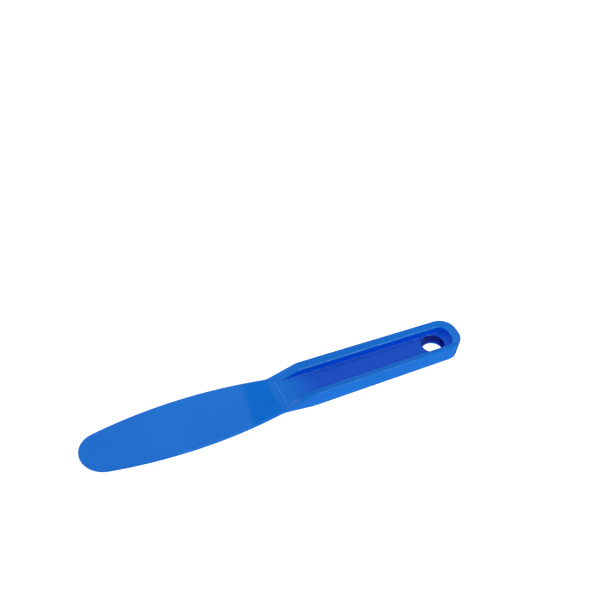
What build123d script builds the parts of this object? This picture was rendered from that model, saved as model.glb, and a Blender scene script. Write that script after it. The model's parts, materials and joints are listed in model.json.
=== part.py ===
"""Flexible plastic spatula: a one-piece moulding with a stiff channelled handle and a thin blade that bends.

The blade is cut across into short links, so that its bend can be carried by a row of hinges.
The origin is on the centre line, half way along the tool, in the plane of the handle's flat underside.
+X runs from the tail of the handle to the tip of the blade. +Z is up, on the side that the channel opens to.
"""
from build123d import *
from math import exp, hypot, radians, sqrt, tan
import os

os.makedirs("parts", exist_ok=True)

# Places along the tool
overall_length = 200.0
tip_x = overall_length / 2
tail_x = -tip_x
neck_x = 1.0  # where the sides of the handle meet the sides of the blade
shoulder_x = -16.0  # where the handle starts to thin towards the blade
step_x = -3.4  # where the channel floor ends in a small step down to the blade

# Handle
handle_height = 10.2
tail_half_width = 10.05
neck_half_width = 12.0  # of the rim line, carried on to the neck
tail_radius = 24.2
tail_corner_radius = 8.5
draft = 8.3  # degrees that the outer wall leans in towards the underside
underside_round = 0.8
hole_x = tail_x + 13.5
hole_diameter = 11.0
hole_round = 0.3

# Channel in the handle, and the rim that dips towards it
channel_half_width = 6.5  # at the tail, at the rim's inner edge
channel_spread = 0.009  # growth of that half width for each unit towards the neck
channel_end_inset = 4.0
channel_end_radius = 10.0
channel_corner_radius = 5.0
channel_draft = 10.0
channel_floor_z = 5.6
rim_dip = 1.3  # how much lower the rim is at its inner edge

# Blade
blade_z = 4.4  # middle of the blade's thickness
root_thickness = 1.8
tip_thickness = 1.0
blade_neck_half_width = 11.3
blade_half_width = 15.9
widest_x = 47.4

# Bend of the blade, shared equally by hinge lines that lie closer together where it bends more
link_count = 20
first_hinge_x = neck_x + 2.0
plain_pitch = 7.1  # between hinge lines on the plain stretch near the tip
full_bend = 60.0  # degrees each way, from the handle to the tip
peak_share = 2.1  # extra share of the bend where the blade bends most
peak_place = 0.16  # of the blade's length, from the neck
peak_spread = 0.13
relief_margin = 0.5  # degrees kept free between two links at full bend
link_gap = 0.04

blade_top = blade_z + root_thickness / 2
blade_bottom = blade_z - root_thickness / 2
hinge_bend = full_bend / link_count
side_slope = (neck_half_width - tail_half_width) / (neck_x - tail_x)
over = 20.0  # how far a cutting shape runs past what it cuts


def rim_half_width(x):
    """Half width of the handle at the outer edge of the rim."""
    return tail_half_width + side_slope * (x - tail_x)


def channel_width(x):
    """Half width of the channel at the inner edge of the rim."""
    return channel_half_width + channel_spread * (x - tail_x)


def rounded_end(half_width, start_x, end_radius, corner_radius, end_x):
    """Draw a long outline with a rounded end at start_x, its sides half_width(x) from the middle."""
    corner_x = start_x + end_radius - sqrt(end_radius**2 - half_width(start_x) ** 2)
    corner_y = half_width(corner_x)
    end_y = half_width(end_x)
    with BuildLine() as outline:
        ThreePointArc((corner_x, corner_y), (start_x, 0), (corner_x, -corner_y))
        Line((corner_x, -corner_y), (end_x, -end_y))
        Line((end_x, -end_y), (end_x, end_y))
        Line((end_x, end_y), (corner_x, corner_y))
    make_face(outline.edges())
    fillet(vertices().sort_by(Axis.X)[:2], corner_radius)


def handle_outline(end_x):
    """Draw the outer edge of the rim, left to run on to end_x."""
    rounded_end(rim_half_width, tail_x, tail_radius, tail_corner_radius, end_x)


def channel_outline(end_x):
    """Draw the inner edge of the rim, left to run on to end_x."""
    rounded_end(channel_width, tail_x + channel_end_inset, channel_end_radius, channel_corner_radius, end_x)


def valley(x, line_z):
    """Draw, across the handle, the space over the rim: two sloped banks and a level bottom."""
    inner = channel_width(x)
    low = line_z - rim_dip
    rise = over * rim_dip / (rim_half_width(x) - inner)
    Polygon(
        (inner, low), (inner + over, low + rise), (inner + over, low + 2 * over),
        (-inner - over, low + 2 * over), (-inner - over, low + rise), (-inner, low),
        align=None,
    )


def bend_share(x):
    """How sharply the blade bends at x, against the plain stretch near the tip."""
    along = (x - neck_x) / (tip_x - neck_x)
    return 1 + peak_share * exp(-(((along - peak_place) / peak_spread) ** 2))


def link_side_view(start_x, end_x):
    """Draw, from the side, the space that one link may fill, from one hinge line to the next.

    Each end is a shallow ridge at the hinge line, so that two links can tilt both ways.
    """
    near, far = start_x + link_gap / 2, end_x - link_gap / 2
    relief = root_thickness * tan(radians(hinge_bend / 2 + relief_margin))
    low, high = blade_z - root_thickness, blade_z + root_thickness
    Polygon(
        (near, blade_z), (near + relief, low), (far - relief, low),
        (far, blade_z), (far - relief, high), (near + relief, high),
        align=None,
    )


# Blade blank: sides of one arc each, a round tip tangent to them, thinner towards the tip
sagitta = blade_half_width - blade_neck_half_width
side_radius = ((widest_x - neck_x) ** 2 + sagitta**2) / (2 * sagitta)
side_centre_y = blade_half_width - side_radius
reach = tip_x - widest_x
tip_radius = (side_radius**2 - reach**2 - side_centre_y**2) / (2 * (side_radius - reach))
tip_centre_x = tip_x - tip_radius
span = hypot(tip_centre_x - widest_x, side_centre_y)
tangent_x = widest_x + side_radius * (tip_centre_x - widest_x) / span
tangent_y = side_centre_y - side_radius * side_centre_y / span
root_x = neck_x - 3.0
root_y = side_centre_y + sqrt(side_radius**2 - (widest_x - root_x) ** 2)

with BuildPart() as blade:
    with BuildSketch(Plane.XY.offset(blade_bottom)):
        with BuildLine():
            ThreePointArc((root_x, root_y), (widest_x, blade_half_width), (tangent_x, tangent_y))
            ThreePointArc((tangent_x, tangent_y), (tip_x, 0), (tangent_x, -tangent_y))
            ThreePointArc((tangent_x, -tangent_y), (widest_x, -blade_half_width), (root_x, -root_y))
            Line((root_x, -root_y), (root_x, root_y))
        make_face()
    extrude(amount=root_thickness)
    with BuildSketch(Plane.XZ):
        Polygon(
            (root_x, blade_bottom), (neck_x, blade_bottom),
            (tip_x, blade_z - tip_thickness / 2), (tip_x, blade_z + tip_thickness / 2),
            (neck_x, blade_top), (root_x, blade_top),
            align=None,
        )
    extrude(amount=2 * over, both=True, mode=Mode.INTERSECT)

# Hinge lines across the blade, all with the same bend
hinge_x = [first_hinge_x]
for number in range(1, link_count):
    hinge_x.append(hinge_x[-1] + plain_pitch / bend_share(hinge_x[-1]))

# Space over the handle where its rim slopes down to the blade
slope_fall = handle_height - blade_top
slope_run = neck_x - shoulder_x
with BuildPart() as slope:
    for along in (-1, 2):
        with BuildSketch(Plane.YZ.offset(shoulder_x + along * slope_run)):
            valley(shoulder_x + along * slope_run, handle_height - along * slope_fall)
    loft(ruled=True)
    split(bisect_by=Plane.XY.offset(blade_top), keep=Keep.TOP)
    with BuildSketch(Plane.XY.offset(blade_top)):
        with Locations((step_x, 0)):
            Rectangle(3 * over, 3 * over, align=(Align.MAX, Align.CENTER))
    extrude(amount=channel_floor_z - blade_top, mode=Mode.SUBTRACT)

# Handle: a drafted block, thinned to the blade, hollowed by the dipped rim and the channel
with BuildPart() as handle:
    with BuildSketch(Plane.XY.offset(handle_height)):
        handle_outline(neck_x + 2.0)
    extrude(amount=-handle_height, taper=draft)
    with BuildSketch(Plane.XZ):
        Polygon(
            (tail_x, 0), (shoulder_x, 0), (neck_x, blade_bottom),
            (neck_x, handle_height), (tail_x, handle_height),
            align=None,
        )
    extrude(amount=2 * over, both=True, mode=Mode.INTERSECT)
    underside = handle.faces().filter_by(lambda face: face.normal_at().Z < -0.9)
    fillet(underside.edges().filter_by(Axis.Y, reverse=True), underside_round)

    with BuildSketch(Plane.XY.offset(handle_height)):
        handle_outline(neck_x + over)
    with BuildSketch(Plane.XY.offset(handle_height - rim_dip)):
        channel_outline(neck_x + over)
    loft(ruled=True, mode=Mode.SUBTRACT)
    with BuildSketch(Plane.XY.offset(handle_height - rim_dip)):
        channel_outline(neck_x + over)
    extrude(amount=channel_floor_z + rim_dip - handle_height, taper=channel_draft, mode=Mode.SUBTRACT)
    add(slope.part, mode=Mode.SUBTRACT)

    with Locations((hole_x, 0, channel_floor_z)):
        Hole(hole_diameter / 2)
    hole_edges = handle.edges().filter_by(
        lambda edge: edge.geom_type == GeomType.CIRCLE and abs(edge.radius - hole_diameter / 2) < hole_round)
    fillet(hole_edges, hole_round)

# Root of the blade, one solid with the handle, up to the first hinge line
with BuildPart() as blade_root:
    add(blade.part)
    with BuildSketch(Plane.XZ):
        link_side_view(root_x - over, first_hinge_x)
    extrude(amount=2 * over, both=True, mode=Mode.INTERSECT)
with handle:
    add(blade_root.part)
handle.part.label = "handle"
export_step(handle.part, "parts/handle.step")

# Links of the blade, from the handle to the tip
link_ends = hinge_x + [tip_x + over]
for number in range(link_count):
    with BuildPart() as blade_link:
        add(blade.part)
        with BuildSketch(Plane.XZ):
            link_side_view(link_ends[number], link_ends[number + 1])
        extrude(amount=2 * over, both=True, mode=Mode.INTERSECT)
    is_tip = number + 1 == link_count
    blade_link.part.label = "blade_tip" if is_tip else f"blade_link_{number + 1:02d}"
    export_step(blade_link.part, f"parts/{blade_link.part.label}.step")
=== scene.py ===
"""Flexible plastic spatula: one glossy blue moulding, with a stiff channelled handle and a blade that bends.

Sizes are in millimetres until a mesh is made. x runs from the tail to the tip, z is up.
The handle is one mesh that rides the handle's body. The blade is a row of meshes, one for each hinge line and
one more for the round tip, which meet half way between two hinge lines; only the tip's mesh rides a body.
"""

import bpy
import bmesh
import json
from math import acos, atan, cos, hypot, pi, radians, sin, sqrt, tan
from mathutils import Matrix, Vector


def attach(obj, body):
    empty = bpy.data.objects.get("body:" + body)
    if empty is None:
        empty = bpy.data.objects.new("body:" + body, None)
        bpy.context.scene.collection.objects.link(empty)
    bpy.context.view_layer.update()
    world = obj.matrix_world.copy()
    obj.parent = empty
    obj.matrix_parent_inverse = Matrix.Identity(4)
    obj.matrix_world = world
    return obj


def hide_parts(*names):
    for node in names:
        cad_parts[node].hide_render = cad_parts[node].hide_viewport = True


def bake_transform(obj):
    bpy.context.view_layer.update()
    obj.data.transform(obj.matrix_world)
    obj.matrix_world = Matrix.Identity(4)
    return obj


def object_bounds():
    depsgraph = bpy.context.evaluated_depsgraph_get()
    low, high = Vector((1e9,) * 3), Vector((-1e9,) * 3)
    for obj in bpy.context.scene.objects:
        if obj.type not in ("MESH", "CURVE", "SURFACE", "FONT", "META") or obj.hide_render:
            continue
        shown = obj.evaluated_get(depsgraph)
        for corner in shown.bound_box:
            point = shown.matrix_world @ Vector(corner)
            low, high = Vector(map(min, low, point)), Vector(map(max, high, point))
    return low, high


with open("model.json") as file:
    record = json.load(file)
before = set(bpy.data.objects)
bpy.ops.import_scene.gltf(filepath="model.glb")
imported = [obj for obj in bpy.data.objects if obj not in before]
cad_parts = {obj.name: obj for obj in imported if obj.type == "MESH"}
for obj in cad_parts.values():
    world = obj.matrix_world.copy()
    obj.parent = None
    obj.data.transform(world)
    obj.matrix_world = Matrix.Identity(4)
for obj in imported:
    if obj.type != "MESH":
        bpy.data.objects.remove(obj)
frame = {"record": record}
cad_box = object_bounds()
MM = 0.001

# Places along the tool
TAIL = cad_box[0][0] / MM
TIP = cad_box[1][0] / MM
NECK = 1.0  # where the sides of the handle meet the sides of the blade
SHOULDER = -16.0  # where the handle starts to thin towards the blade
STEP = -3.4  # where the channel's floor starts to fall to the blade
STEP_RUN = 0.8  # length of that rounded fall
BLADE_START = 1.4  # where the blade's meshes take over from the handle's

# Handle
HEIGHT = 10.2
TAIL_HALF_WIDTH = 10.05
NECK_HALF_WIDTH = 12.0
TAIL_RADIUS = 24.2
TAIL_CORNER_RADIUS = 8.5
DRAFT = tan(radians(8.3))
SIDE_SLOPE = (NECK_HALF_WIDTH - TAIL_HALF_WIDTH) / (NECK - TAIL)
HOLE_X = TAIL + 13.5
HOLE_RADIUS = 5.5
HOLE_LIP = 0.8  # round at the channel's floor
HOLE_ROUND = 0.35  # round at the underside
HOLE_TAPER = 0.3  # how much smaller the hole's radius is at the underside

# Channel and rim
CHANNEL_HALF_WIDTH = 6.5
CHANNEL_SPREAD = 0.009
CHANNEL_INSET = 4.0
CHANNEL_END_RADIUS = 10.0
CHANNEL_CORNER_RADIUS = 5.0
CHANNEL_DRAFT = tan(radians(10.0))
FLOOR = 5.6
RIM_DIP = 1.3  # how much lower the rim is at its inner edge
RIM_LOW = HEIGHT - RIM_DIP
WALL_HEIGHT = RIM_LOW - FLOOR

# Blade
BLADE_Z = 4.4  # middle of the blade's thickness
ROOT_THICKNESS = 1.8
TIP_THICKNESS = 1.0
BLADE_NECK_HALF_WIDTH = 11.3
BLADE_HALF_WIDTH = 15.9
WIDEST = 47.4

# Rounds
UNDERSIDE_ROUND = 0.8
RIM_ROUND = 0.45
INNER_ROUND = 0.8
FOOT_ROUND = 0.3
FOOT_REACH = FOOT_ROUND * tan((pi / 2 - atan(CHANNEL_DRAFT)) / 2)
BLADE_ROUND = 0.3
SUPPORT = 0.12  # how far past a round its flat neighbour gets its own row of points

# How close two surfaces or outlines come before they run softly into each other
RIM_BEND = 0.35
SHOULDER_BEND = 0.25
NECK_BEND = 0.2
BANK_BEND = 0.1
SIDE_BEND = 0.12
EDGE_BEND = 0.05

# How worn or shaded a place is: up to 1 on an edge that gets rubbed, below 0 in a recess, by its depth, where
# shade is painted into the colour
UNDERSIDE_WEAR = 0.7
HOLE_WEAR = 0.6
FLOOR_SHADE = 0.37
WALL_SHADE = 0.5
HOLE_SHADE = 1.0
LIP_FADE = 0.2  # how much less painted shade the outside of the hole's lip gets
FLOOR_FADE = 22.0  # length over which the painted shade on the floor sets in from the step
WALL_FADE = 8.0


# ---------------------------------------------------------------- outlines


def blade_arcs():
    """The arc along the blade's side and the arc round its tip, and where they meet."""
    sagitta = BLADE_HALF_WIDTH - BLADE_NECK_HALF_WIDTH
    side_radius = ((WIDEST - NECK) ** 2 + sagitta**2) / (2 * sagitta)
    side_y = BLADE_HALF_WIDTH - side_radius
    reach = TIP - WIDEST
    tip_radius = (side_radius**2 - reach**2 - side_y**2) / (2 * (side_radius - reach))
    tip_x = TIP - tip_radius
    span = hypot(tip_x - WIDEST, side_y)
    tangent_x = WIDEST + side_radius * (tip_x - WIDEST) / span
    return side_radius, side_y, tip_radius, tip_x, tangent_x


SIDE_RADIUS, SIDE_Y, TIP_RADIUS, TIP_X, TANGENT_X = blade_arcs()


def rim_half_width(x):
    return TAIL_HALF_WIDTH + SIDE_SLOPE * (x - TAIL)


def channel_half_width(x):
    return CHANNEL_HALF_WIDTH + CHANNEL_SPREAD * (x - TAIL)


def blade_width(x):
    """Half width of the blade, up to where its round tip starts."""
    return SIDE_Y + sqrt(SIDE_RADIUS**2 - (x - WIDEST) ** 2)


def blade_top(x):
    share = (max(x, NECK) - NECK) / (TIP - NECK)
    return BLADE_Z + (ROOT_THICKNESS + (TIP_THICKNESS - ROOT_THICKNESS) * share) / 2


def blade_bottom(x):
    return 2 * BLADE_Z - blade_top(x)


def soft_max(a, b, width):
    """The larger of two values, rounded over where they are within width of each other."""
    near = max(width - abs(a - b), 0)
    return max(a, b) + near * near / (4 * width)


def soft_min(a, b, width):
    return -soft_max(-a, -b, width)


def ease(t):
    """Smooth step from 0 to 1."""
    t = min(max(t, 0.0), 1.0)
    return t * t * (3 - 2 * t)


def rim_line(x):
    """Height of the rim's outer line."""
    slope = (HEIGHT - blade_top(NECK)) / (NECK - SHOULDER)
    return soft_min(HEIGHT, HEIGHT - slope * (x - SHOULDER), RIM_BEND)


def underside(x):
    """Height of the underside."""
    slope = blade_bottom(NECK) / (NECK - SHOULDER)
    return soft_min(soft_max(0.0, slope * (x - SHOULDER), SHOULDER_BEND), blade_bottom(x), NECK_BEND)


def floor_line(x):
    """Height of the channel's floor, and of the blade's top past the step."""
    t = min(max((x - STEP) / STEP_RUN, 0.0), 1.0)
    return blade_top(x) + (FLOOR - blade_top(x)) * (1 - t**3)


def corner_arc(start_x, end_radius, corner_radius, half_width, slope):
    """Where an outline's rounded end meets its corner: both centres, and the angle they meet at."""
    centre_x = start_x + end_radius
    # the corner's centre lies on a line inside the side and on a circle inside the end
    reach = end_radius - corner_radius
    offset = half_width(0) - corner_radius * sqrt(1 + slope**2)
    a = 1 + slope**2
    b = 2 * (slope * offset - centre_x)
    c = centre_x**2 + offset**2 - reach**2
    x = (-b - sqrt(b * b - 4 * a * c)) / (2 * a)
    y = offset + slope * x
    return centre_x, Vector((x, y)), atan(y / (centre_x - x))


END_STEPS = 8
CORNER_STEPS = 14


def rounded_end(start_x, end_radius, corner_radius, half_width, slope):
    """Points of half an outline from its middle to its side, each with the direction of its section."""
    centre_x, corner, start_angle = corner_arc(start_x, end_radius, corner_radius, half_width, slope)
    points = []
    for i in range(END_STEPS):
        angle = start_angle * i / END_STEPS
        out = Vector((-cos(angle), sin(angle)))
        points.append((Vector((centre_x, 0)) + out * end_radius, out))
    for i in range(CORNER_STEPS + 1):
        share = i / CORNER_STEPS
        angle = start_angle + (pi / 2 - atan(slope) - start_angle) * share
        out = Vector((-cos(angle), sin(angle)))
        # the sections turn until the last one lies straight across the tool
        cut = start_angle + (pi / 2 - start_angle) * share
        points.append((corner + out * corner_radius, Vector((-cos(cut), sin(cut)))))
    return points


# ---------------------------------------------------------------- rounded sections

ROOM = 0.49  # the most of its shorter side that a round may take
LEAST_REACH = 0.04  # the least that a round takes from each side
FLAT_TURN = 0.02  # in radians, up to it a corner is cut straight across
FULL_TURN = 3  # in radians, from it on a round takes all the room that it may


def rounded(corners, radii, steps):
    """Points along a line through the corners, with each corner rounded.

    A corner always gives the same number of points, however sharp it is.
    """
    points = [corners[0]]
    for i in range(1, len(corners) - 1):
        here = corners[i]
        back = corners[i - 1] - here
        ahead = corners[i + 1] - here
        back_dir = back.normalized()
        ahead_dir = ahead.normalized()
        turn = pi - acos(min(max(back_dir.dot(ahead_dir), -1), 1))
        room = ROOM * min(back.length, ahead.length)
        reach = min(radii[i - 1] * tan(turn / 2), room) if turn < FULL_TURN else room
        reach = max(reach, min(LEAST_REACH, room))
        first = here + back_dir * reach
        last = here + ahead_dir * reach
        points.append(here + back_dir * min(reach + SUPPORT, reach + 0.5 * (back.length - reach)))
        for k in range(steps[i - 1] + 1):
            t = k / steps[i - 1]
            if turn > FLAT_TURN:
                # a point on the arc that touches both sides
                half = turn / 2
                angle = -half + turn * t
                radius = reach / tan(half)
                inward = (back_dir + ahead_dir).normalized()
                middle = here + inward * (radius / cos(half))
                across = (last - first).normalized()
                points.append(middle + (-inward * cos(angle) + across * sin(angle)) * radius)
            else:
                points.append(first.lerp(last, t))
        points.append(here + ahead_dir * min(reach + SUPPORT, reach + 0.5 * (ahead.length - reach)))
    points.append(corners[-1])
    return points


ARC_STEPS = (5, 5, 5, 7)  # underside, rim, inner edge, foot
BOTTOM_COLUMNS = 12
FLOOR_COLUMNS = 4

# Numbers of a section's points. Each round has one support point before it and one after it.
UNDERSIDE_START = BOTTOM_COLUMNS
RIM_START = UNDERSIDE_START + ARC_STEPS[0] + 3
INNER_START = RIM_START + ARC_STEPS[1] + 3
FOOT_START = INNER_START + ARC_STEPS[2] + 3
FOOT_TOP = FOOT_START + 1  # where the channel's wall meets the round at its foot
LAST = FOOT_START + ARC_STEPS[3] + 2 + FLOOR_COLUMNS


def spread(start, end, count):
    """Evenly spaced points from start up to end, which is left out."""
    return [start.lerp(end, i / count) for i in range(count)]


def section(corners, blade_share):
    """One station of the handle, from its underside's middle, out and over the rim, to its floor's middle."""
    bottom_round = UNDERSIDE_ROUND + (BLADE_ROUND - UNDERSIDE_ROUND) * blade_share
    rim_round = RIM_ROUND + (BLADE_ROUND - RIM_ROUND) * blade_share
    line = rounded(corners, (bottom_round, rim_round, INNER_ROUND, FOOT_ROUND), ARC_STEPS)
    bottom = spread(line[0], line[1], BOTTOM_COLUMNS)
    top = spread(line[-2], line[-1], FLOOR_COLUMNS)
    return bottom + line[1:-2] + top + [line[-1]]


THIN_WALL = 0.3  # width kept for the channel's wall where it has no height left
NEARLY = 0.999  # keeps the inner edge's corner just short of the rim's
LEAST_HEIGHT = 1e-6
MELT_START = -0.6  # where the sides of the handle start to turn into those of the blade
MELT_RUN = 1.6


def side_section(x, inner_x):
    """Station across the straight part of the handle and its slope down to the blade."""
    line = rim_line(x)
    bottom = underside(x)
    base = floor_line(x)
    half = rim_half_width(x)
    channel = channel_half_width(inner_x)
    width = half - channel
    drop = (HEIGHT - line) * DRAFT / (1 - RIM_DIP * DRAFT / width)
    rim_y = half - drop
    rim_z = soft_max(line - RIM_DIP * drop / width, base, BANK_BEND)
    side_y = half - (HEIGHT - bottom) * DRAFT
    if x > STEP:
        edge = blade_width(x)
        melt = ease((x - MELT_START) / MELT_RUN)
        side_y = soft_max(side_y, edge, SIDE_BEND)
        rim_y = soft_max(rim_y, edge, EDGE_BEND) if x < NECK else edge
        side_y = side_y + (edge - side_y) * melt
        rim_y = rim_y + (edge - rim_y) * melt
    inner_z = min(line - RIM_DIP, RIM_LOW)
    if inner_z > base:
        inner_y = channel - (RIM_LOW - inner_z) * CHANNEL_DRAFT
        foot_y = channel - (RIM_LOW - base) * CHANNEL_DRAFT
    else:
        # the wall has sunk below the floor, and its foot moves out to the side along the bank
        low_y = channel - WALL_HEIGHT * CHANNEL_DRAFT
        share = min((base - inner_z) / max(rim_z - inner_z, LEAST_HEIGHT), 1.0)
        foot_y = low_y + (rim_y - low_y) * share
        inner_y = foot_y + THIN_WALL * min(1.0, (rim_y - foot_y) / THIN_WALL) * NEARLY
        inner_z = base + (rim_z - base) * (inner_y - foot_y) / max(rim_y - foot_y, LEAST_HEIGHT)
        if rim_y - foot_y < THIN_WALL:
            foot_y = rim_y - 2 * THIN_WALL
            inner_y = rim_y - THIN_WALL
            inner_z = base
    corners = [
        (x, 0, bottom), (x, side_y, bottom), (x, rim_y, rim_z),
        (inner_x, inner_y, inner_z), (inner_x, foot_y, base), (x, 0, base),
    ]
    return section([Vector(corner) for corner in corners], ease((x - SHOULDER) / (NECK - SHOULDER)))


TAIL_BOTTOM_REACH = 2.0  # how far inwards the tail's sections go on the underside
TAIL_FLOOR_REACH = 1.3  # and on the channel's floor


def end_section(outer, out, inner, inward):
    """Station in the rounded tail, square to the outline."""
    side = outer - out * HEIGHT * DRAFT
    foot = inner - inward * WALL_HEIGHT * CHANNEL_DRAFT
    corners = [
        (*(side - out * TAIL_BOTTOM_REACH), 0), (*side, 0), (*outer, HEIGHT),
        (*inner, RIM_LOW), (*foot, FLOOR), (*(foot - inward * TAIL_FLOOR_REACH), FLOOR),
    ]
    return section([Vector(corner) for corner in corners], 0.0)


# ---------------------------------------------------------------- handle

# Where each stretch of stations ends, and about how far apart its stations are
STRETCHES = (
    (HOLE_X + HOLE_RADIUS + 2.6, 1.4),
    (SHOULDER - 2.5, 5.0),
    (SHOULDER + 2.5, 0.25),
    (STEP - 0.4, 0.5),
    (STEP + 0.9, 0.05),
    (BLADE_START, 0.15),
)
CATCH_UP = 6.0  # length over which the inner edge's points draw level with the rim's


def steps_between(start, end, size):
    """Evenly spaced places about size apart, from the first after start up to end."""
    count = max(1, round(abs(end - start) / size))
    return [start + (end - start) * i / count for i in range(1, count + 1)]


def handle_sections():
    """All sections, the number of the one just past the hole, and half the channel's rounded end."""
    outer = rounded_end(TAIL, TAIL_RADIUS, TAIL_CORNER_RADIUS, rim_half_width, SIDE_SLOPE)
    inner = rounded_end(TAIL + CHANNEL_INSET, CHANNEL_END_RADIUS, CHANNEL_CORNER_RADIUS,
                        channel_half_width, CHANNEL_SPREAD)
    sections = [end_section(*rim, *edge) for rim, edge in zip(outer, inner)]
    outer_x = outer[-1][0].x
    inner_x = inner[-1][0].x
    start_x = outer_x
    past_hole = None
    for end_x, size in STRETCHES:
        for x in steps_between(start_x, end_x, size):
            lag = (outer_x - inner_x) * max(0.0, 1 - (x - outer_x) / CATCH_UP)
            sections.append(side_section(x, x - lag))
        past_hole = past_hole or len(sections) - 1
        start_x = end_x
    return sections, past_hole, inner


class Shell:
    """Points and faces of half the handle, and each point's wear and painted shade."""

    def __init__(self):
        self.points = []
        self.faces = []
        self.wear_and_shade = []
        self.numbers = {}

    def point(self, key, place, wear_and_shade=0.0):
        """Number of the point with this key, which is made the first time it is asked for."""
        if key not in self.numbers:
            self.numbers[key] = len(self.points)
            self.points.append(Vector(place))
            self.wear_and_shade.append(wear_and_shade)
        return self.numbers[key]


def wear_and_shade_at(j, x):
    """How worn point j of the section at x is; below 0, how much shade is painted on it."""
    for start, steps in ((RIM_START, ARC_STEPS[1]), (INNER_START, ARC_STEPS[2])):
        if start + 1 <= j <= start + 1 + steps:
            return 1.0 - 0.5 * abs(j - start - 1 - steps / 2) / (steps / 2)
    if UNDERSIDE_START + 1 <= j <= UNDERSIDE_START + 1 + ARC_STEPS[0]:
        return UNDERSIDE_WEAR
    # the channel's walls and floor get painted shade, fading in from the step
    if j > INNER_START + 1 + ARC_STEPS[2]:
        depth, fade = (WALL_SHADE, WALL_FADE) if j <= FOOT_TOP + 1 else (FLOOR_SHADE, FLOOR_FADE)
        return -depth * ease((STEP - x) / fade)
    return 0.0


def add_sides(shell, sections, past_hole):
    """Faces from one section to the next. Beside the hole the floor and the underside are left open."""
    for k in range(len(sections) - 1):
        columns = range(0, LAST) if k >= past_hole else range(UNDERSIDE_START, FOOT_TOP)
        for j in columns:
            corners = []
            for a, b in ((k, j), (k + 1, j), (k + 1, j + 1), (k, j + 1)):
                corners.append(shell.point((a, b), sections[a][b], wear_and_shade_at(b, sections[a][0].x)))
            shell.faces.append(corners)


def wall_foot(inner):
    """Where, in plan, the channel's wall would meet its floor if there were no round."""
    line = [edge - inward * WALL_HEIGHT * CHANNEL_DRAFT for edge, inward in inner]
    for x in steps_between(inner[-1][0].x, 0.0, 2.0):
        line.append(Vector((x, channel_half_width(x) - WALL_HEIGHT * CHANNEL_DRAFT)))
    return line


def distance_to(point, a, b):
    """Distance in plan from a point to the stretch from a to b."""
    along = b - a
    t = min(max((point - a).dot(along) / along.length_squared, 0), 1)
    return (point - a - along * t).length


def foot_height(place, foot_line):
    """How far the round at the wall's foot lifts the floor at a place."""
    into = FOOT_REACH - min(distance_to(place, a, b) for a, b in zip(foot_line, foot_line[1:]))
    if into <= 0:
        return 0.0
    into = min(into, FOOT_ROUND * 0.9)
    return FOOT_ROUND - sqrt(FOOT_ROUND**2 - into**2)


ROUND_STEPS = 5
FLOOR_ROWS = 9
FLOOR_GRADING = 1.5  # above 1, the floor's rows lie closer together towards the wall
WALL_ROWS = 4
UNDER_ROWS = 4


def add_strip(shell, columns, top):
    """Faces between each column of points and the next, which look up if top is set and else down."""
    for left, right in zip(columns, columns[1:]):
        for i in range(len(left) - 1):
            if top:
                shell.faces.append([left[i], left[i + 1], right[i + 1], right[i]])
            else:
                shell.faces.append([left[i + 1], left[i], right[i], right[i + 1]])


def add_hole(shell, sections, past_hole, foot_line):
    """The channel's floor round the hole, the hole's wall, and the underside round it."""
    hole = Vector((HOLE_X, 0))
    upper = [(k, FOOT_TOP) for k in range(past_hole + 1)]
    upper += [(past_hole, j) for j in range(FOOT_TOP + 1, LAST + 1)]
    lower = [(k, UNDERSIDE_START) for k in range(past_hole + 1)]
    lower += [(past_hole, j) for j in range(UNDERSIDE_START - 1, -1, -1)]
    rays = [(sections[k][j].xy - hole).normalized() for k, j in upper]

    # from the hole's edge out to the foot of the channel's wall
    above = []
    for n, (k, j) in enumerate(upper):
        start = hole + rays[n] * (HOLE_RADIUS + HOLE_LIP)
        lip_z = FLOOR + foot_height(start, foot_line)
        column = []
        for i in range(ROUND_STEPS):
            turn = pi / 2 * i / ROUND_STEPS
            place = hole + rays[n] * (HOLE_RADIUS + HOLE_LIP * (1 - cos(turn)))
            # painted shade on the hole's lip, a little less towards its outside
            depth = HOLE_SHADE - LIP_FADE * i / ROUND_STEPS
            column.append(shell.point(("lip", n, i), (*place, lip_z - HOLE_LIP * (1 - sin(turn))), -depth))
        for i in range(FLOOR_ROWS):
            place = start.lerp(sections[k][j].xy, 1 - (1 - i / FLOOR_ROWS) ** FLOOR_GRADING)
            z = FLOOR + foot_height(place, foot_line)
            # painted shade on the channel's floor
            column.append(shell.point(("floor", n, i), (*place, z), -FLOOR_SHADE))
        column.append(shell.numbers[k, j])
        above.append(column)
    add_strip(shell, above, top=True)

    # down the hole's wall and out along the underside
    below = []
    for n, (k, j) in enumerate(lower):
        column = [above[n][0]]
        for i in range(1, WALL_ROWS):
            place = hole + rays[n] * (HOLE_RADIUS - HOLE_TAPER * i / WALL_ROWS)
            z = HOLE_ROUND + (FLOOR - HOLE_ROUND - HOLE_LIP) * (1 - i / WALL_ROWS)
            # painted shade on the hole's wall
            column.append(shell.point(("wall", n, i), (*place, z), -HOLE_SHADE))
        for i in range(ROUND_STEPS + 1):
            turn = pi / 2 * i / ROUND_STEPS
            place = hole + rays[n] * (HOLE_RADIUS - HOLE_TAPER + HOLE_ROUND * (1 - cos(turn)))
            z = HOLE_ROUND * (1 - sin(turn))
            column.append(shell.point(("round", n, i), (*place, z), HOLE_WEAR * i / ROUND_STEPS))
        start = hole + rays[n] * (HOLE_RADIUS + HOLE_ROUND + SUPPORT)
        for i in range(UNDER_ROWS):
            place = start.lerp(sections[k][j].xy, i / UNDER_ROWS)
            column.append(shell.point(("under", n, i), (*place, 0)))
        column.append(shell.numbers[k, j])
        below.append(column)
    add_strip(shell, below, top=False)


def half_handle():
    """Points, faces, and wear and painted shade of the handle's half with y above zero."""
    sections, past_hole, inner = handle_sections()
    shell = Shell()
    add_sides(shell, sections, past_hole)
    add_hole(shell, sections, past_hole, wall_foot(inner))
    return shell.points, shell.faces, shell.wear_and_shade


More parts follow.
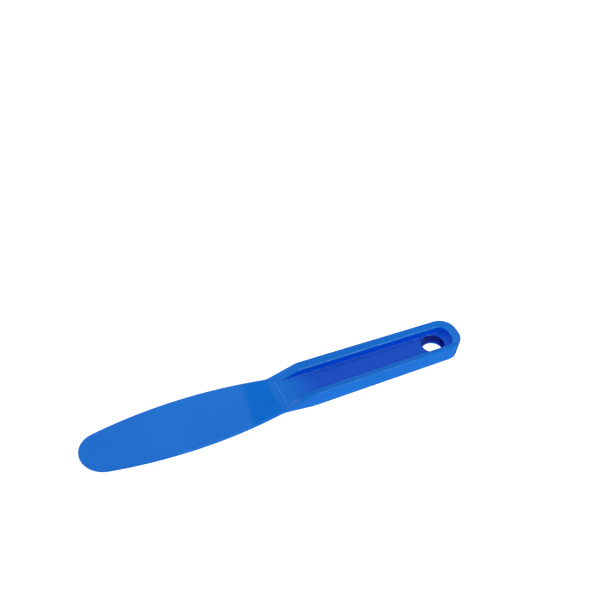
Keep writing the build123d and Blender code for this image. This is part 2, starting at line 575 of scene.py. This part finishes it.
# ---------------------------------------------------------------- blade

BLADE_COLUMNS = 8
BLADE_ARC = 4
BLADE_SPACING = 0.4
TIP_STEPS = 40


def blade_ring(base, edge):
    """Points round half of the blade along one ray from its centre line to its outline."""
    ray = edge - base
    length = ray.length
    ray = ray / length
    flat = length - BLADE_ROUND - SUPPORT
    # each row's reach along the ray, its depth below the blade's face, and how exposed it is
    rows = [(flat * i / BLADE_COLUMNS, 0.0, 0.0) for i in range(BLADE_COLUMNS + 1)]
    for i in range(BLADE_ARC + 1):
        turn = pi / 2 * i / BLADE_ARC
        reach = length - BLADE_ROUND * (1 - sin(turn))
        rows.append((reach, BLADE_ROUND * (1 - cos(turn)), 1 - abs(i / BLADE_ARC - 0.5)))
    points, wear_and_shade = [], []
    for side, ordered in ((-1, rows), (1, rows[::-1])):
        for reach, depth, wear in ordered:
            place = base + ray * reach
            points.append(Vector((*place, BLADE_Z + side * (blade_top(place.x) - BLADE_Z - depth))))
            wear_and_shade.append(wear)
    return points, wear_and_shade


def half_blade():
    """Points, faces and exposure of the whole blade's half with y above zero."""
    rings = []
    for x in [BLADE_START] + steps_between(BLADE_START, TANGENT_X, BLADE_SPACING):
        edge = Vector((x, blade_width(x)))
        # past the widest place the rays lean back, to stay about square to the side
        lean = max((x - WIDEST) / SIDE_RADIUS, 0.0)
        base_x = x - edge.y * tan(lean / sqrt(1 - lean * lean))
        rings.append(blade_ring(Vector((base_x, 0)), edge))
    start = acos((TANGENT_X - TIP_X) / TIP_RADIUS)
    for i in range(1, TIP_STEPS + 1):
        angle = start * (1 - i / TIP_STEPS)
        edge = Vector((TIP_X + TIP_RADIUS * cos(angle), TIP_RADIUS * sin(angle)))
        rings.append(blade_ring(Vector((TIP_X, 0)), edge))
    points = [point for ring, _ in rings for point in ring]
    wear_and_shade = [value for _, ring in rings for value in ring]
    size = len(rings[0][0])
    faces = []
    for k in range(len(rings) - 1):
        for a in range(k * size, k * size + size - 1):
            faces.append([a, a + size, a + size + 1, a + 1])
    return points, faces, wear_and_shade


# ---------------------------------------------------------------- meshes

# In metres
MERGE_DISTANCE = 2e-6
LEAST_EDGE = 1e-6
CUT_TOLERANCE = 1e-7


def mirrored(points, faces, wear_and_shade):
    """Add the other half, across the plane y = 0."""
    count = len(points)
    both = points + [Vector((p.x, -p.y, p.z)) for p in points]
    faces_both = faces + [[n + count for n in reversed(face)] for face in faces]
    return both, faces_both, wear_and_shade + wear_and_shade


def make_mesh(name, points, faces, wear_and_shade, cuts=()):
    """Smooth closed mesh in metres, with each point's rest place and its value of wear and painted shade.

    Each cut is a place x and the side of it, -1 or 1, that is taken away.
    """
    mesh = bpy.data.meshes.new(name)
    bm = bmesh.new()
    # each point's wear, and below 0 the shade painted on it
    layer = bm.verts.layers.float.new("wear_and_shade")
    for place, value in zip(points, wear_and_shade):
        vert = bm.verts.new(place * MM)
        vert[layer] = value
    bm.verts.ensure_lookup_table()
    for face in faces:
        bm.faces.new([bm.verts[n] for n in face])
    bmesh.ops.remove_doubles(bm, verts=bm.verts, dist=MERGE_DISTANCE)
    bmesh.ops.dissolve_degenerate(bm, edges=bm.edges, dist=LEAST_EDGE)
    for side, x in cuts:
        geometry = list(bm.verts) + list(bm.edges) + list(bm.faces)
        bmesh.ops.bisect_plane(bm, geom=geometry, dist=CUT_TOLERANCE, plane_co=(x * MM, 0, 0),
                               plane_no=(side, 0, 0), clear_outer=True)
    for face in bm.faces:
        face.smooth = True
    # the open ends are closed flat, with a sharp edge round each
    open_edges = [edge for edge in bm.edges if len(edge.link_faces) == 1]
    for face in bmesh.ops.holes_fill(bm, edges=open_edges, sides=0)["faces"]:
        face.smooth = False
        for edge in face.edges:
            edge.smooth = False
    bmesh.ops.recalc_face_normals(bm, faces=bm.faces)
    bm.to_mesh(mesh)
    bm.free()
    places = [component for vert in mesh.vertices for component in vert.co]
    mesh.attributes.new("rest", "FLOAT_VECTOR", "POINT").data.foreach_set("vector", places)
    piece = bpy.data.objects.new(name, mesh)
    bpy.context.scene.collection.objects.link(piece)
    return piece


# ---------------------------------------------------------------- material

BLUE = (0.0, 0.18, 0.79, 1)
PALER_BLUE = (0.0, 0.205, 0.855, 1)
RUBBED_BLUE = (0.02, 0.28, 0.95, 1)
# Painted shade in the recesses: a darker blue on the channel's floor and navy in the hole, with a more
# saturated blue on the channel's walls as painted bounce light; each with the depth where it sets in and the
# depth where it is full
RECESS_SHADE_BLUES = (
    (0.0, FLOOR_SHADE, (0.0, 0.086, 0.68, 1)),
    (FLOOR_SHADE, WALL_SHADE, (0.0, 0.12, 0.97, 1)),
    (0.55, HOLE_SHADE, (0.0, 0.009, 0.25, 1)),
)


def plastic():
    """Glossy blue moulded plastic, with a faint ripple, fine scratches and slightly rubbed edges, and painted
    shade and bounce light in its channel and hole.
    """
    material = bpy.data.materials.new("blue_plastic")
    material.use_nodes = True
    nodes, links = material.node_tree.nodes, material.node_tree.links
    shader = nodes["Principled BSDF"]

    def attribute(name, output):
        made = nodes.new("ShaderNodeAttribute")
        made.attribute_name = name
        return made.outputs[output]

    def noise(place, scale, detail, roughness):
        made = nodes.new("ShaderNodeTexNoise")
        links.new(place, made.inputs["Vector"])
        made.inputs["Scale"].default_value = scale
        made.inputs["Detail"].default_value = detail
        made.inputs["Roughness"].default_value = roughness
        return made.outputs["Fac"]

    def remap(value, start, end, to_start=0.0, to_end=1.0):
        """The range from start to end, stretched to another one and kept inside it."""
        made = nodes.new("ShaderNodeMapRange")
        links.new(value, made.inputs["Value"])
        made.inputs["From Min"].default_value = start
        made.inputs["From Max"].default_value = end
        made.inputs["To Min"].default_value = to_start
        made.inputs["To Max"].default_value = to_end
        return made.outputs["Result"]

    def product(value, factor):
        made = nodes.new("ShaderNodeMath")
        made.operation = "MULTIPLY"
        links.new(value, made.inputs[0])
        made.inputs[1].default_value = factor
        return made.outputs[0]

    def added(value, factor, total):
        """A total with a share of the value added to it."""
        made = nodes.new("ShaderNodeMath")
        made.operation = "MULTIPLY_ADD"
        links.new(value, made.inputs[0])
        made.inputs[1].default_value = factor
        links.new(total, made.inputs[2])
        return made.outputs[0]

    def painted(under, share, colour):
        """Another colour over the one under it, by a share from 0 to 1."""
        made = nodes.new("ShaderNodeMix")
        made.data_type = "RGBA"
        links.new(share, made.inputs["Factor"])
        links.new(under, made.inputs[6])
        made.inputs[7].default_value = colour
        return made.outputs[2]

    def bump(height, distance, strength):
        made = nodes.new("ShaderNodeBump")
        links.new(height, made.inputs["Height"])
        made.inputs["Distance"].default_value = distance
        made.inputs["Strength"].default_value = strength
        return made

    rest = attribute("rest", "Vector")
    # wear on rubbed edges, and below 0 painted shade in the recesses
    wear_and_shade = attribute("wear_and_shade", "Fac")

    # slow change of colour through the moulding
    tint = nodes.new("ShaderNodeValToRGB")
    links.new(noise(rest, 28.0, 3.0, 0.5), tint.inputs["Fac"])
    for element, position, colour in zip(tint.color_ramp.elements, (0.3, 0.7), (BLUE, PALER_BLUE)):
        element.position = position
        element.color = colour

    # edges rubbed a little paler, in patches
    rub = nodes.new("ShaderNodeMath")
    rub.operation = "MULTIPLY"
    rub.use_clamp = True
    links.new(wear_and_shade, rub.inputs[0])
    links.new(remap(noise(rest, 420.0, 4.0, 0.6), 0.42, 0.62), rub.inputs[1])
    colour = painted(tint.outputs["Color"], product(rub.outputs[0], 0.35), RUBBED_BLUE)

    # painted shade in the channel and the hole, and painted bounce light on the channel's walls, by how deep
    # the place is
    for start, full, blue in RECESS_SHADE_BLUES:
        colour = painted(colour, remap(wear_and_shade, -start, -full), blue)
    links.new(colour, shader.inputs["Base Color"])

    # roughness: polished, with smudges, hairline scratches along the tool, and duller rubbed edges
    stretched = nodes.new("ShaderNodeMapping")
    stretched.inputs["Scale"].default_value = (60.0, 900.0, 900.0)
    links.new(rest, stretched.inputs["Vector"])
    hairs = remap(noise(stretched.outputs["Vector"], 1.0, 2.0, 0.5), 0.62, 0.75)
    gloss = remap(noise(rest, 90.0, 3.0, 0.55), 0.3, 0.7, 0.01, 0.04)
    gloss = added(hairs, 0.08, gloss)
    gloss = added(rub.outputs[0], 0.12, gloss)
    links.new(gloss, shader.inputs["Roughness"])

    # bump: the mould's faint waviness and fine grain
    wave = bump(noise(rest, 160.0, 1.0, 0.4), 0.00006, 0.04)
    grain = bump(noise(rest, 2600.0, 2.0, 0.6), 0.00001, 0.015)
    links.new(wave.outputs["Normal"], grain.inputs["Normal"])
    links.new(grain.outputs["Normal"], shader.inputs["Normal"])

    shader.inputs["IOR"].default_value = 1.49
    shader.inputs["Specular Tint"].default_value = (0.55, 0.9, 1.0, 1)
    return material


# ---------------------------------------------------------------- pieces

handle = make_mesh("handle_moulding", *mirrored(*half_handle()))
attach(handle, "handle")
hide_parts("handle")
pieces = [handle]

hinges = frame["record"]["behaviour"]["joints"]
hinge_x = [joint["pos_m"][0] / MM for joint in hinges]
TIP_MARGIN = 1.5  # least length of the last mesh
joins = [BLADE_START] + [(a + b) / 2 for a, b in zip(hinge_x, hinge_x[1:])]
joins.append(min(hinge_x[-1] + (hinge_x[-1] - joins[-1]), TIP - TIP_MARGIN))

blade = mirrored(*half_blade())
for number, joint in enumerate(hinges):
    start_x, end_x = joins[number], joins[number + 1]
    cuts = [(1, end_x)] if number == 0 else [(1, end_x), (-1, start_x)]
    piece = make_mesh(f"blade_part_{number + 1:02d}", *blade, cuts=cuts)
    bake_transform(piece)
    if number + 1 < len(hinges):
        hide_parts(joint["child"])
    pieces.append(piece)
tip = make_mesh("blade_round_tip", *blade, cuts=[(-1, joins[-1])])
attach(tip, hinges[-1]["child"])
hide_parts(hinges[-1]["child"])
pieces.append(tip)

blue_plastic = plastic()
for piece in pieces:
    piece.data.materials.append(blue_plastic)

# ---------------------------------------------------------------- stage, light and camera, in metres

GROUND_SIZE = 40.0  # from the middle to each side
GROUND_Z = -0.12  # low enough for the blade to bend down
GROUND_GLOW = 0.65  # keeps the ground evenly pale far from the lamps
ROOM_COLOUR = (0.2, 0.2, 0.2, 1)
DARK_COLOUR = (0.0, 0.005, 0.02, 1)
DARK_EDGES = (("Y", 0.05), ("Z", -0.1))  # where the room starts to darken, by each part of its direction
DARK_FADE = 0.3
GAP_TURN = radians(-12)


def stage_floor():
    """Plain pale ground some way below the tool."""
    mesh = bpy.data.meshes.new("floor")
    corners = [(-1, -1), (1, -1), (1, 1), (-1, 1)]
    mesh.from_pydata([(x * GROUND_SIZE, y * GROUND_SIZE, GROUND_Z) for x, y in corners], [], [(0, 1, 2, 3)])
    plane = bpy.data.objects.new("floor", mesh)
    bpy.context.scene.collection.objects.link(plane)
    material = bpy.data.materials.new("pale_floor")
    material.use_nodes = True
    shader = material.node_tree.nodes["Principled BSDF"]
    shader.inputs["Base Color"].default_value = (0.9, 0.9, 0.9, 1)
    shader.inputs["Roughness"].default_value = 0.9
    shader.inputs["Emission Color"].default_value = (1, 1, 1, 1)
    shader.inputs["Emission Strength"].default_value = GROUND_GLOW
    mesh.materials.append(material)
    plane.visible_glossy = False  # the tool shows no reflection of the ground in its sides


def studio():
    """Grey room all round, dark only low down behind the tool, where its far edges and its hole mirror it."""
    world = bpy.data.worlds.new("studio")
    world.use_nodes = True
    nodes, links = world.node_tree.nodes, world.node_tree.links
    direction = nodes.new("ShaderNodeTexCoord")
    parts = nodes.new("ShaderNodeSeparateXYZ")
    links.new(direction.outputs["Generated"], parts.inputs[0])
    dark = nodes.new("ShaderNodeMath")
    dark.operation = "MULTIPLY"
    for number, (axis, edge) in enumerate(DARK_EDGES):
        share = nodes.new("ShaderNodeMapRange")
        share.inputs["From Min"].default_value = edge
        share.inputs["From Max"].default_value = edge - DARK_FADE
        links.new(parts.outputs[axis], share.inputs["Value"])
        links.new(share.outputs["Result"], dark.inputs[number])
    paint = nodes.new("ShaderNodeMix")
    paint.data_type = "RGBA"
    links.new(dark.outputs[0], paint.inputs["Factor"])
    paint.inputs[6].default_value = ROOM_COLOUR
    paint.inputs[7].default_value = DARK_COLOUR
    links.new(paint.outputs[2], nodes["Background"].inputs["Color"])
    bpy.context.scene.world = world


def soft_light(name, place, target, size, radiance, turn=0.0, colour=(1, 1, 1)):
    """Rectangular lamp, as wide and deep as size, that looks equally bright from all over the tool."""
    lamp = bpy.data.lights.new(name, "AREA")
    lamp.shape = "RECTANGLE"
    lamp.size, lamp.size_y = size
    lamp.energy = radiance * pi * size[0] * size[1]
    lamp.color = colour
    made = bpy.data.objects.new(name, lamp)
    made.location = place
    direction = Vector(target) - Vector(place)
    made.rotation_euler = direction.to_track_quat("-Z", "Y").to_euler()
    made.rotation_euler.rotate_axis("Z", turn)
    made.visible_camera = False
    bpy.context.scene.collection.objects.link(made)


stage_floor()
studio()
soft_light("key", (-0.31, 0.62, 0.85), (-0.31, 0, 0), (0.45, 0.9), 3.5)
soft_light("side", (0.55, -0.62, 0.68), (0, 0, 0), (0.5, 0.5), 2.6, colour=(0.5, 0.87, 1.0))
# two panels overhead, with a narrow gap that shows as a darker band across the blade
soft_light("panel_ahead", (0.239, -0.585, 0.584), (0.239, -0.585, 0), (0.89, 1.35), 0.45, GAP_TURN)
soft_light("panel_behind", (-0.545, -0.383, 0.584), (-0.545, -0.383, 0), (0.67, 1.35), 0.28, GAP_TURN)

# The camera looks down along the tool, from beside the blade
RIGHT = Vector((-0.905988, 0.422172, 0.03093))
DOWN = Vector((0.276399, 0.64533, -0.712147))
FORWARD = RIGHT.cross(DOWN)
CAMERA_PLACE = Vector((0.225957, 0.470491, 0.583733))
camera_data = bpy.data.cameras.new("camera")
camera_data.lens = 96.4
camera_data.sensor_width = 36.0
camera = bpy.data.objects.new("camera", camera_data)
axes = Matrix((RIGHT, -DOWN, -FORWARD)).transposed()
camera.matrix_world = Matrix.Translation(CAMERA_PLACE) @ axes.to_4x4()
bpy.context.scene.collection.objects.link(camera)
bpy.context.scene.camera = camera
bpy.context.scene.view_settings.view_transform = "Standard"
